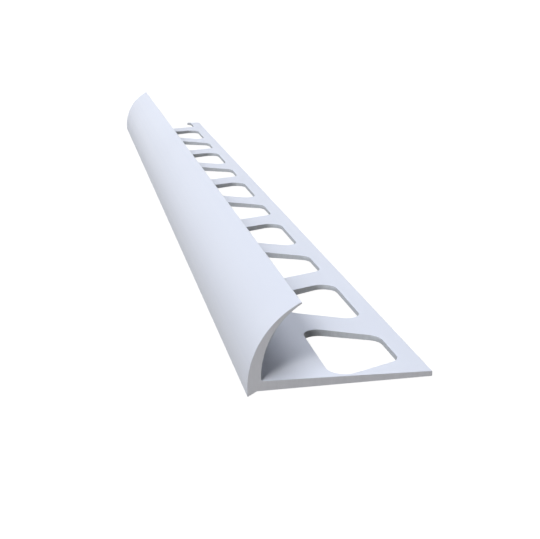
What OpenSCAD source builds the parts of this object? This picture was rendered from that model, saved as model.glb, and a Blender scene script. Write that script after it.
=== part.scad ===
// Round-edge tile trim: one extruded length of white PVC.
// A crescent face rises from the foot and thins towards its tip. A flat leg runs out
// from the foot, tapers to its free edge and is punched with a row of keyed holes.

/* [Length] */
// Length of the cut piece
trim_len = 222; // [40:0.5:2500]

/* [Leg] */
// Overall width, from the bulge of the face to the free edge of the leg
trim_w = 25; // [20:0.5:40]
// Thickness of the leg where it meets the face
leg_root_t = 1.4; // [0.8:0.05:3]
// Thickness of the leg at its free edge
leg_edge_t = 0.75; // [0.4:0.05:3]

/* [Face] */
// Clear height for the tile, from the top of the leg at its root up to the tip
seat_h = 10.3; // [5:0.1:16]
// Angle that the outer arc climbs, from upright beside the leg to the tip
face_sweep = 64; // [45:1:85]
// Height of the outer arc's centre over the underside of the leg
arc_rise = 0.4; // [0:0.05:1.5]
// Thickness of the face at its root
face_root_t = 1.85; // [0.8:0.05:4]
// Thickness of the face at its tip
face_tip_t = 0.25; // [0.1:0.05:1.5]
// Height of the inner arc's centre over the top of the leg
hollow_rise = 0.5; // [0:0.05:1.5]

/* [Lip] */
// Depth of the lip below the underside of the leg
lip_h = 0.7; // [0.1:0.05:1.5]
// Width of the lip where it meets the underside of the leg
lip_w = 1.3; // [0.5:0.05:4]

/* [Holes] */
// Width of a hole, across the leg
hole_w = 10.8; // [6:0.1:14]
// Length of a hole's long side, before its corners are rounded
hole_long = 19.4; // [12:0.1:30]
// Length of a hole's short side, before its corners are rounded
hole_short = 9; // [5:0.1:12]
// Radius of a hole's corners
hole_r = 2.3; // [0.5:0.1:3]
// Width of the slanting web between two holes, along the leg
web_w = 6.6; // [2:0.1:20]
// Width of the rail between the holes and the free edge
rail_w = 3; // [1:0.1:8]
// Land between the near cut end and the first hole
near_land = 0.6; // [0.2:0.05:10]

/* [Hidden] */
$fn = 96;

// How far a cutting shape runs past what it cuts
overcut = 2;

// Outer arc of the face, upright where it stands level with its centre
face_r = (leg_root_t + seat_h - arc_rise) / sin(face_sweep);
face_c = [face_r, arc_rise];
tip_dir = [-cos(face_sweep), sin(face_sweep)];
tip_in = face_c + (face_r - face_tip_t) * tip_dir;
lip_x = face_r - sqrt(pow(face_r, 2) - pow(arc_rise + lip_h, 2));

// Inner arc of the face, upright where it stands level with its centre and ending at the tip
hollow_z = leg_root_t + hollow_rise;
hollow = tip_in - [face_root_t, hollow_z];
hollow_r = (hollow * hollow) / (2 * hollow.x);
hollow_c = [face_root_t + hollow_r, hollow_z];

// Rounded keystone shape of one hole, worked out from its slanting sides
slant = atan((hole_long - hole_short) / (2 * hole_w));
long_y = hole_long / 2 - hole_r * (1 + sin(slant)) / cos(slant);
short_y = hole_short / 2 - hole_r * (1 - sin(slant)) / cos(slant);
hole_span = 2 * (long_y + hole_r);

// Row of holes, counted from the near end; the far end is sawn off wherever the length falls
hole_pitch = (hole_long + hole_short) / 2 + web_w;
hole_count = ceil((trim_len - near_land) / hole_pitch);
hole_x = trim_w - rail_w - hole_w;

// Crescent face with the lip at its foot
module face_section() {
    past_tip = face_c + (face_r + overcut) * tip_dir;
    difference() {
        intersection() {
            translate(face_c) circle(r = face_r);
            polygon([
                face_c,
                past_tip,
                [-overcut, past_tip.y],
                [-overcut, -lip_h],
                [lip_x, -lip_h],
                [lip_w, 0],
                [face_c.x, 0]
            ]);
        }
        translate(hollow_c) circle(r = hollow_r);
    }
}

// Tapered leg, starting inside the root of the face
module leg_section() {
    polygon([
        [face_root_t / 2, 0],
        [trim_w, 0],
        [trim_w, leg_edge_t],
        [face_root_t, leg_root_t],
        [face_root_t / 2, leg_root_t]
    ]);
}

// One hole, with its long side on the y axis and its short side at hole_w
module hole_outline() {
    touch = hole_r * [sin(slant), cos(slant)];
    long_c = [hole_r, long_y];
    short_c = [hole_w - hole_r, short_y];
    half = [[0, long_y], long_c + touch, short_c + touch, [hole_w, short_y]];
    polygon(concat(half, [for (i = [3:-1:0]) [half[i].x, -half[i].y]]));
    for (c = [long_c, short_c], side = [-1, 1])
        translate([c.x, side * c.y]) circle(r = hole_r);
}

// The whole row: every second hole is turned round, so the webs slant to and fro
module hole_row() {
    first_y = near_land + (hole_span - trim_len) / 2;
    for (i = [0:hole_count - 1])
        translate([hole_x, first_y + i * hole_pitch])
            translate([i % 2 == 0 ? 0 : hole_w, 0])
                mirror([i % 2 == 0 ? 0 : 1, 0]) hole_outline();
}

module edge_trim() {
    color("#e6eaf4")
        translate([-trim_w / 2, 0, lip_h])
            difference() {
                rotate([90, 0, 0]) linear_extrude(height = trim_len, center = true) {
                    face_section();
                    leg_section();
                }
                translate([0, 0, -overcut])
                    linear_extrude(height = leg_root_t + 2 * overcut) hole_row();
            }
}

edge_trim();
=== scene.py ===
# %% [markdown]
# # A round-edge tile trim
#
# The real object is a strip of white PVC that finishes the edge of a tiled corner. It is made in two steps:
# hot plastic is pushed through a shaped hole, which gives the strip its section, and a press then punches a
# row of holes through its flat leg, so that tile adhesive can grip it. This lesson follows the same order:
# draw the section, push it along its length, punch the holes, and then ease the edges and add the finish.
#
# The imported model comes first. It fixes where the trim lies and how big it is, in metres, and everything
# made below is measured from it.

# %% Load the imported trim
import math

import bmesh
import bpy
from mathutils import Matrix, Vector


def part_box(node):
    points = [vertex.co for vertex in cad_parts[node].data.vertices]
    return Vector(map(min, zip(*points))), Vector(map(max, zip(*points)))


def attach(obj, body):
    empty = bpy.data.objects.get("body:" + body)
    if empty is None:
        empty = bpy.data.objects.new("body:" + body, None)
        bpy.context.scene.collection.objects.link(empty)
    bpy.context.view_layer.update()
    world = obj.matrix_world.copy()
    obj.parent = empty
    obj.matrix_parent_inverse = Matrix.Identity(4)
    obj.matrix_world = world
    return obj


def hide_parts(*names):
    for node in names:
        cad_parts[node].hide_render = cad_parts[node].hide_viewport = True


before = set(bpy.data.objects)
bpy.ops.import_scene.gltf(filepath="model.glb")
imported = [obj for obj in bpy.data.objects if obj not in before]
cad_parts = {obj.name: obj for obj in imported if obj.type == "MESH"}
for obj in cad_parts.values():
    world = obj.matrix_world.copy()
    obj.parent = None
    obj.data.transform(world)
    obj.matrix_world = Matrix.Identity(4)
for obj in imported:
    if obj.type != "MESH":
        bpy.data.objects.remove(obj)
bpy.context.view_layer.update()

MM = 0.001
low, high = [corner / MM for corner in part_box("edge_trim")]
print("trim from", [round(v, 2) for v in low], "to", [round(v, 2) for v in high], "mm")

# %% [markdown]
# ## The camera
#
# A close camera with a normal lens gives long things their strong taper, and no other setting can fake it.
# So the camera stands close to the near end, a little to the left of the round face, and looks along the
# trim and down on it. Its place is measured from the near end of the trim and from the bulge of the face.

# %% Camera
CAMERA_LEFT = 20.55
CAMERA_BACK = 110.85
CAMERA_UP = 52.16
CAMERA_TURN = math.radians(-11.99)
CAMERA_DOWN = math.radians(17.28)
LENS_MM = 64.26
NEAREST_SEEN = 10

lens = bpy.data.cameras.new("camera")
lens.lens = LENS_MM
lens.clip_start = NEAREST_SEEN * MM
camera = bpy.data.objects.new("camera", lens)
camera.location = (low + Vector((-CAMERA_LEFT, -CAMERA_BACK, CAMERA_UP))) * MM
camera.rotation_euler = (math.radians(90) - CAMERA_DOWN, 0, CAMERA_TURN)
bpy.context.scene.collection.objects.link(camera)
bpy.context.scene.camera = camera
print("camera at", [round(v / MM, 1) for v in camera.location], "mm")

# %% [markdown]
# ## The section
#
# The section is a crescent that stands on a tapered leg. Its outside is one arc and its inside another, so
# the wall is thick at the root and almost sharp at the tip. Arcs could be typed in as points, but then their
# smoothness is fixed for ever. Spinning a single vertex round a centre draws the same arc from three numbers,
# and the number of steps can be changed later.

# %% Draw an arc by spinning one vertex
def draw_arc(bm, start, centre, axis, angle, steps):
    """Spin a vertex round a centre, and return the chain of vertices that it leaves behind."""
    first = len(bm.verts)
    vert = bm.verts.new(start)
    bmesh.ops.spin(bm, geom=[vert], cent=centre, axis=axis, angle=angle, steps=steps)
    bm.verts.ensure_lookup_table()
    return bm.verts[first:]


def close_outline(bm, chains):
    """Join chains of vertices end to end, and fill the ring that they make with one face."""
    for chain, following in zip(chains, chains[1:] + chains[:1]):
        bm.edges.new((chain[-1], following[0]))
    return bmesh.ops.contextual_create(bm, geom=bm.edges[:])["faces"][0]


# %% Sizes of the section
LEG_ROOT_T = 1.4
LEG_EDGE_T = 0.75
SEAT_H = 10.3
FACE_SWEEP = math.radians(64)
ARC_RISE = 0.4
FACE_ROOT_T = 1.85
FACE_TIP_T = 0.25
HOLLOW_RISE = 0.5
LIP_H = 0.7
LIP_W = 1.3


def on_arc(centre, radius, angle):
    """The point of an upright arc at an angle above its centre, on the side of the round face."""
    return centre + radius * Vector((-math.cos(angle), 0, math.sin(angle)))


bed_z = low.z + LIP_H
face_r = (LEG_ROOT_T + SEAT_H - ARC_RISE) / math.sin(FACE_SWEEP)
face_centre = Vector((low.x + face_r, low.y, bed_z + ARC_RISE))
lip_sweep = math.asin((ARC_RISE + LIP_H) / face_r)
tip_inside = on_arc(face_centre, face_r - FACE_TIP_T, FACE_SWEEP)
thickest = Vector((low.x + FACE_ROOT_T, low.y, bed_z + LEG_ROOT_T + HOLLOW_RISE))
hollow = tip_inside - thickest
hollow_r = hollow.length_squared / (2 * hollow.x)
hollow_centre = thickest + Vector((hollow_r, 0, 0))
root_sweep = math.asin(HOLLOW_RISE / hollow_r)
hollow_sweep = math.asin(hollow.z / hollow_r)
print("outer radius", round(face_r, 2), "mm, inner radius", round(hollow_r, 2), "mm")

# %% [markdown]
# The corners of a real extrusion are never quite sharp, because the plastic swells a little as it leaves the
# die. Rounding them while the section is still flat is easy: bevelling a vertex of a flat face cuts its
# corner with a small arc. Done later, the same corners would be long edges of a solid, mixed up with the
# edges of the holes and of the cut ends.

# %% Draw the section and round its corners
OUTER_STEPS = 72
INNER_STEPS = 56
ALONG = Vector((0, 1, 0))
ROUND_TIP = 0.09
ROUND_LIP = 0.1
ROUND_EDGE = 0.14
ROUND_ROOT = 0.2
CORNER_STEPS = 4


def round_corners(bm, corners, size):
    """Cut the corners of a flat outline with small arcs."""
    bmesh.ops.bevel(
        bm, geom=corners, offset=size, offset_type="OFFSET", affect="VERTICES",
        segments=CORNER_STEPS, profile=0.5, material=-1,
    )


section = bmesh.new()
lip = on_arc(face_centre, face_r, -lip_sweep)
root = on_arc(hollow_centre, hollow_r, -root_sweep)
outside = draw_arc(section, lip, face_centre, ALONG, lip_sweep + FACE_SWEEP, OUTER_STEPS)
inside = draw_arc(section, root, hollow_centre, ALONG, root_sweep + hollow_sweep, INNER_STEPS)
leg = [
    section.verts.new((high.x, low.y, bed_z + LEG_EDGE_T)),
    section.verts.new((high.x, low.y, bed_z)),
    section.verts.new((low.x + LIP_W, low.y, bed_z)),
]
close_outline(section, [outside, inside[::-1]] + [[corner] for corner in leg])
round_corners(section, [outside[-1], inside[-1]], ROUND_TIP)
round_corners(section, [outside[0]], ROUND_LIP)
round_corners(section, leg[:2], ROUND_EDGE)
round_corners(section, [inside[0]], ROUND_ROOT)
print("section with", len(section.verts), "points")

# %% [markdown]
# ## The extrusion
#
# Pushing the section along its length is one extrude: the face is copied, the copy is moved to the far end,
# and the walls between the two appear by themselves. A check that every edge has exactly two faces proves
# that the result is a closed solid, which the punching below depends on.

# %% Push the section along the length
def only_verts(parts):
    """The vertices among the parts that an operator returns."""
    return [part for part in parts if isinstance(part, bmesh.types.BMVert)]


def push(bm, way):
    """Extrude a flat outline into a block with its faces turned outwards."""
    made = bmesh.ops.extrude_face_region(bm, geom=bm.faces[:])["geom"]
    bmesh.ops.translate(bm, verts=only_verts(made), vec=way)
    bmesh.ops.recalc_face_normals(bm, faces=bm.faces[:])


def all_closed(bm):
    """True if every edge of a mesh has exactly two faces."""
    return all(edge.is_manifold for edge in bm.edges)


push(section, (high.y - low.y) * ALONG)
print("extrusion with", len(section.faces), "faces, closed:", all_closed(section))

# %% [markdown]
# ## The punches
#
# Each hole is a keystone with round corners, and every second one is turned round, so that the webs between
# them slant to and fro. One punch is drawn with the same spinning arcs, pushed upwards into a little block,
# and copied. Turning a copy half round does the same as mirroring it here, because a keystone is the same
# left and right, and unlike a mirror it doesn't turn the faces inside out.

# %% Sizes of the holes
HOLE_W = 10.8
HOLE_LONG = 19.4
HOLE_SHORT = 9.0
HOLE_R = 2.3
WEB_W = 6.6
RAIL_W = 3.0
NEAR_LAND = 0.6

slant = math.atan((HOLE_LONG - HOLE_SHORT) / (2 * HOLE_W))
long_y = HOLE_LONG / 2 - HOLE_R * (1 + math.sin(slant)) / math.cos(slant)
short_y = HOLE_SHORT / 2 - HOLE_R * (1 - math.sin(slant)) / math.cos(slant)
hole_pitch = (HOLE_LONG + HOLE_SHORT) / 2 + WEB_W
hole_count = math.ceil((high.y - low.y - NEAR_LAND) / hole_pitch)
first_y = low.y + NEAR_LAND + long_y + HOLE_R
hole_out = high.x - RAIL_W
hole_in = hole_out - HOLE_W
print(hole_count, "holes,", round(hole_pitch, 2), "mm apart")

# %% Draw one punch and copy it along the leg
HOLE_STEPS = 12
PUNCH_REACH = 2
UP = Vector((0, 0, 1))
half_w = HOLE_W / 2


def keystone(bm):
    """Outline of one hole about the origin, with its long side towards the face."""
    quarter = math.pi / 2
    chains = []
    for side in (1, -1):
        wide = Vector((HOLE_R - half_w, side * long_y, 0))
        narrow = Vector((half_w - HOLE_R, side * short_y, 0))
        meet = HOLE_R * Vector((math.sin(slant), side * math.cos(slant), 0))
        back = HOLE_R * Vector((-1, 0, 0))
        wide_arc = draw_arc(bm, wide + back, wide, UP, -side * (quarter + slant), HOLE_STEPS)
        narrow_arc = draw_arc(bm, narrow + meet, narrow, UP, -side * (quarter - slant), HOLE_STEPS)
        chains += [wide_arc, narrow_arc] if side == 1 else [narrow_arc[::-1], wide_arc[::-1]]
    return close_outline(bm, chains)


punches = bmesh.new()
keystone(punches)
push(punches, (LEG_ROOT_T + 2 * PUNCH_REACH) * UP)
first_corners = punches.verts[:]
first_punch = first_corners + punches.edges[:] + punches.faces[:]
middle_x = (hole_in + hole_out) / 2
for number in range(hole_count):
    copied = bmesh.ops.duplicate(punches, geom=first_punch)["geom"]
    turn = Matrix.Rotation(math.pi * (number % 2), 4, "Z")
    place = Vector((middle_x, first_y + number * hole_pitch, bed_z - PUNCH_REACH))
    bmesh.ops.transform(punches, matrix=Matrix.Translation(place) @ turn, verts=only_verts(copied))
bmesh.ops.delete(punches, geom=first_corners, context="VERTS")
print("punches closed:", all_closed(punches))

# %% [markdown]
# ## Punching the leg
#
# A Boolean does what the press does: it takes the punches away from the strip, and leaves clean walls through
# the leg. The exact solver is slower than the others, but it copes with walls this thin, and a strip with a
# few thousand faces takes it no time. The result is read back into a bmesh, so that its edges can be chosen.

# %% Take the punches away from the strip
def as_object(bm, name):
    """Turn a bmesh into an object in the scene, and free it."""
    mesh = bpy.data.meshes.new(name)
    bm.to_mesh(mesh)
    bm.free()
    made_object = bpy.data.objects.new(name, mesh)
    bpy.context.scene.collection.objects.link(made_object)
    return made_object


trim = as_object(section, "edge_trim_strip")
press = as_object(punches, "punches")
cut = trim.modifiers.new("holes", "BOOLEAN")
cut.operation = "DIFFERENCE"
cut.solver = "EXACT"
cut.object = press
solid = trim.evaluated_get(bpy.context.evaluated_depsgraph_get())
punched = bpy.data.meshes.new_from_object(solid)
trim.modifiers.remove(cut)
trim.data = punched
bpy.data.objects.remove(press)

strip = bmesh.new()
strip.from_mesh(punched)
print("punched strip with", len(strip.faces), "faces, closed:", all_closed(strip))

# %% [markdown]
# ## Edges that catch the light
#
# A punch drags the plastic down as it enters, so the top rim of every hole is softly rounded, while the
# lower rim, where it breaks through, stays crisp. The saw that cuts the strip to length leaves its ends crisp
# too. Only edges where two faces meet at a clear angle are worth a bevel, and their place says which kind
# they are.

# %% Choose the edges and bevel them
TOP_RIM = 0.06
LOW_RIM = 0.04
SAWN_EDGE = 0.04
SOFT_STEPS = 3
CRISP_STEPS = 2
CLEAR_ANGLE = math.radians(40)
NEAR = 0.01


def at_end(vert):
    """True if a vertex lies on one of the two sawn ends."""
    return min(vert.co.y - low.y, high.y - vert.co.y) < NEAR


def between_rails(part):
    """True if an edge or a face lies where the holes are, between the two rails of the leg."""
    return all(hole_in - NEAR < vert.co.x < hole_out + NEAR for vert in part.verts)


def bevel_edges(bm, edges, size, segments):
    """Round a set of edges of the solid."""
    bmesh.ops.bevel(
        bm, geom=edges, offset=size, offset_type="OFFSET", affect="EDGES",
        segments=segments, profile=0.5, material=-1,
    )


clear = [edge for edge in strip.edges if edge.calc_face_angle(0) > CLEAR_ANGLE]
sawn = [edge for edge in clear if all(at_end(vert) for vert in edge.verts)]
rims = [edge for edge in clear if between_rails(edge) and not any(at_end(vert) for vert in edge.verts)]
top_rims = [edge for edge in rims if all(vert.co.z > bed_z + NEAR for vert in edge.verts)]
low_rims = [edge for edge in rims if all(vert.co.z < bed_z + NEAR for vert in edge.verts)]
print(len(top_rims), "top rim,", len(low_rims), "low rim and", len(sawn), "sawn edges")
bevel_edges(strip, top_rims, TOP_RIM, SOFT_STEPS)
bevel_edges(strip, low_rims, LOW_RIM, CRISP_STEPS)
bevel_edges(strip, sawn, SAWN_EDGE, CRISP_STEPS)
bmesh.ops.recalc_face_normals(strip, faces=strip.faces[:])
print("eased strip with", len(strip.faces), "faces, closed:", all_closed(strip))

# %% [markdown]
# ## Which faces were cut
#
# The die leaves a smooth, satin skin. A saw or a punch opens the plastic, and its surface there is duller. So
# the faces are sorted into three groups, and each group gets a material of its own: the sawn ends face along
# the strip, the walls of the holes stand upright inside the leg, and all the rest is skin.

# %% Sort the faces by how they were made
SKIN = 0
SAWN = 1
PUNCHED = 2
UPRIGHT = 0.02


def made_by(face):
    """The group of a face: skin, sawn end or punched wall."""
    if abs(face.normal.y) > 1 - UPRIGHT and all(at_end(vert) for vert in face.verts):
        return SAWN
    return PUNCHED if between_rails(face) and abs(face.normal.z) < UPRIGHT else SKIN


for face in strip.faces:
    face.smooth = True
    face.material_index = made_by(face)
groups = [face.material_index for face in strip.faces]
print(groups.count(SKIN), "skin,", groups.count(SAWN), "sawn and", groups.count(PUNCHED), "punched faces")
bmesh.ops.scale(strip, vec=(MM, MM, MM), verts=strip.verts[:])
strip.to_mesh(trim.data)
strip.free()

# %% [markdown]
# Smooth shading bends the light across every edge, which is right on the round face and wrong on the flat
# leg. The Weighted Normal modifier settles it: big faces keep their own direction, and only the narrow bevel
# strips between them bend, so that flat parts look flat and every edge gets a fine bright line.

# %% Keep flat faces flat
flat = trim.modifiers.new("flat faces", "WEIGHTED_NORMAL")
flat.mode = "FACE_AREA"
flat.weight = 100
flat.keep_sharp = True
print("modifiers:", [modifier.name for modifier in trim.modifiers])

# %% [markdown]
# ## The finish of white PVC
#
# Extruded PVC is a cool white with a satin sheen. Looked at closely, it has fine lines along its length,
# drawn by the die, and a very faint grain. Both are made with noise on the object's own coordinates.
# Squeezing the coordinates along the strip pulls the noise out into lines.

# %% Finish of the extruded skin
PVC_IOR = 1.53
NOISE_LOW = 0.3
NOISE_HIGH = 0.7


def new_finish(name):
    """A new material, with its node tree and its main shader."""
    finish = bpy.data.materials.new(name)
    finish.use_nodes = True
    shader = finish.node_tree.nodes["Principled BSDF"]
    return finish, finish.node_tree, shader


def noise(tree, stretch, detail):
    """Noise in object coordinates, with so many waves a metre along each axis."""
    place = tree.nodes.new("ShaderNodeTexCoord")
    squeeze = tree.nodes.new("ShaderNodeMapping")
    squeeze.inputs["Scale"].default_value = stretch
    pattern = tree.nodes.new("ShaderNodeTexNoise")
    pattern.inputs["Scale"].default_value = 1.0
    pattern.inputs["Detail"].default_value = detail
    tree.links.new(place.outputs["Object"], squeeze.inputs["Vector"])
    tree.links.new(squeeze.outputs["Vector"], pattern.inputs["Vector"])
    return pattern.outputs["Fac"]


def spread(tree, value, least, most):
    """Stretch the part of the scale where most of a noise lies over a new range."""
    spreading = tree.nodes.new("ShaderNodeMapRange")
    spreading.inputs["From Min"].default_value = NOISE_LOW
    spreading.inputs["From Max"].default_value = NOISE_HIGH
    spreading.inputs["To Min"].default_value = least
    spreading.inputs["To Max"].default_value = most
    tree.links.new(value, spreading.inputs["Value"])
    return spreading.outputs["Result"]


def blend_colours(tree, value, first, second):
    """Mix two colours by a noise value."""
    mix = tree.nodes.new("ShaderNodeMix")
    mix.data_type = "RGBA"
    mix.inputs["A"].default_value = (*first, 1)
    mix.inputs["B"].default_value = (*second, 1)
    tree.links.new(value, mix.inputs["Factor"])
    return mix.outputs["Result"]


def relief(tree, value, height, normal=None):
    """Small bumps of a given height from a noise value, on top of an earlier relief."""
    bump = tree.nodes.new("ShaderNodeBump")
    bump.inputs["Strength"].default_value = 1.0
    bump.inputs["Distance"].default_value = height
    tree.links.new(value, bump.inputs["Height"])
    if normal is not None:
        tree.links.new(normal, bump.inputs["Normal"])
    return bump.outputs["Normal"]


white_pvc, tree, shader = new_finish("white_pvc_skin")
die_lines = noise(tree, (1600, 6, 1600), 3)
grain = noise(tree, (2600, 2600, 2600), 2)
clouds = noise(tree, (45, 18, 45), 2)
colour = blend_colours(tree, spread(tree, clouds, 0, 1), (0.755, 0.79, 0.875), (0.785, 0.82, 0.905))
tree.links.new(colour, shader.inputs["Base Color"])
tree.links.new(spread(tree, die_lines, 0.36, 0.46), shader.inputs["Roughness"])
fine = relief(tree, die_lines, 0.0015 * MM)
tree.links.new(relief(tree, grain, 0.001 * MM, fine), shader.inputs["Normal"])
shader.inputs["IOR"].default_value = PVC_IOR
print(white_pvc.name, "with", len(tree.nodes), "nodes")

# %% [markdown]
# The inside of the plastic is the same white, but a tool leaves it rougher, with upright marks. A saw
# scratches it evenly. A punch shears it, and the walls of the holes are given a greyer colour: that is
# painted shade, standing for the shade that falls into the holes. One function makes both finishes, from two
# colours and the depth of the marks. The materials go on in the order of the groups: skin, sawn, punched.

# %% Finishes of the sawn ends and of the punched walls
def cut_finish(name, dark, light, depth):
    """A dull finish with upright tool marks of a given depth."""
    finish, tree, shader = new_finish(name)
    marks = noise(tree, (2400, 2400, 500), 3)
    colour = blend_colours(tree, spread(tree, marks, 0, 1), dark, light)
    tree.links.new(colour, shader.inputs["Base Color"])
    tree.links.new(spread(tree, marks, 0.5, 0.66), shader.inputs["Roughness"])
    tree.links.new(relief(tree, marks, depth), shader.inputs["Normal"])
    shader.inputs["IOR"].default_value = PVC_IOR
    print(finish.name, "with", len(tree.nodes), "nodes")
    return finish


sawn_pvc = cut_finish("white_pvc_sawn", (0.785, 0.79, 0.83), (0.825, 0.83, 0.87), 0.006 * MM)
# The darker grey of the punched walls is painted shade for the holes, on top of their real tool marks.
punched_pvc_painted_shade = cut_finish("white_pvc_punched_painted_shade", (0.605, 0.635, 0.67), (0.665, 0.695, 0.73), 0.008 * MM)
for finish in (white_pvc, sawn_pvc, punched_pvc_painted_shade):
    trim.data.materials.append(finish)

# %% [markdown]
# ## Floor and light
#
# The trim lies on a plain, pale floor that glows by itself, like a light table, so that it stays white all
# over. Far out it turns up into a low wall, and no dark horizon shows from any side. The satin skin mirrors
# the floor a little, which keeps the steep part of the round face bright. The floor is hidden from diffuse
# and shadow rays, so that the lamps alone shade the trim.

# %% Floor
FLOOR_R = 3.0
FLOOR_STEPS = 64
WALL_H = 1.0
WALL_LEAN = 1.1

stage = bmesh.new()
bmesh.ops.create_circle(stage, cap_ends=True, radius=FLOOR_R, segments=FLOOR_STEPS)
border = [edge for edge in stage.edges if edge.is_boundary]
brim = only_verts(bmesh.ops.extrude_edge_only(stage, edges=border)["geom"])
bmesh.ops.scale(stage, vec=(WALL_LEAN, WALL_LEAN, 1), verts=brim)
bmesh.ops.translate(stage, vec=WALL_H * UP, verts=brim)
floor = as_object(stage, "floor")
floor.visible_diffuse = False
floor.visible_shadow = False
pale, tree, shader = new_finish("pale_floor")
shader.inputs["Base Color"].default_value = (0.05, 0.05, 0.05, 1)
shader.inputs["Roughness"].default_value = 0.9
shader.inputs["Emission Color"].default_value = (1, 1, 1, 1)
shader.inputs["Emission Strength"].default_value = 1.0
floor.data.materials.append(pale)
print("floor", 2 * FLOOR_R, "m across")

# %% [markdown]
# Four lamps light the trim. Suns are used instead of soft boxes, because a sun shines as strongly on the far
# end of a long thing as on the near end. The angle of a sun says how large it looks. The key lamp, in front
# on the left, is the smallest and throws the shade of the round face onto the leg. The other three are wide:
# they fill, and leave no clear shade of their own. Two stand beside the key and high up behind. The last
# shines up from the right, as the glow of the floor would, and lights the hollow behind the face. The world
# itself is dark.

# %% Lamps
def add_sun(name, azimuth, elevation, angle, strength, colour):
    """A far lamp in a direction in degrees: azimuth 0 is in front of the near end, 90 is over the leg."""
    turn = math.radians(azimuth)
    climb = math.radians(elevation)
    level = math.cos(climb)
    towards = Vector((math.sin(turn) * level, -math.cos(turn) * level, math.sin(climb)))
    lamp = bpy.data.lights.new(name, "SUN")
    lamp.angle = math.radians(angle)
    lamp.energy = strength
    lamp.color = colour
    lamp_object = bpy.data.objects.new(name, lamp)
    lamp_object.rotation_euler = towards.to_track_quat("Z", "Y").to_euler()
    bpy.context.scene.collection.objects.link(lamp_object)


add_sun("key lamp", 325, 42, 14, 1.41, (0.99, 0.975, 0.95))
add_sun("side lamp", 300, 48, 35, 1.34, (0.875, 0.91, 1))
add_sun("back lamp", 180, 68, 35, 1.52, (0.915, 0.94, 1))
add_sun("low lamp", 118, -12, 36, 0.85, (1, 0.965, 0.93))
world = bpy.data.worlds.new("studio")
world.use_nodes = True
world.node_tree.nodes["Background"].inputs["Strength"].default_value = 0.0
bpy.context.scene.world = world
bpy.context.scene.view_settings.view_transform = "Standard"
print("lamps:", [lamp.name for lamp in bpy.data.lights])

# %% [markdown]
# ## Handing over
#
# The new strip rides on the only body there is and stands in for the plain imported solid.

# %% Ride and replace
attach(trim, "root")
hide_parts("edge_trim")
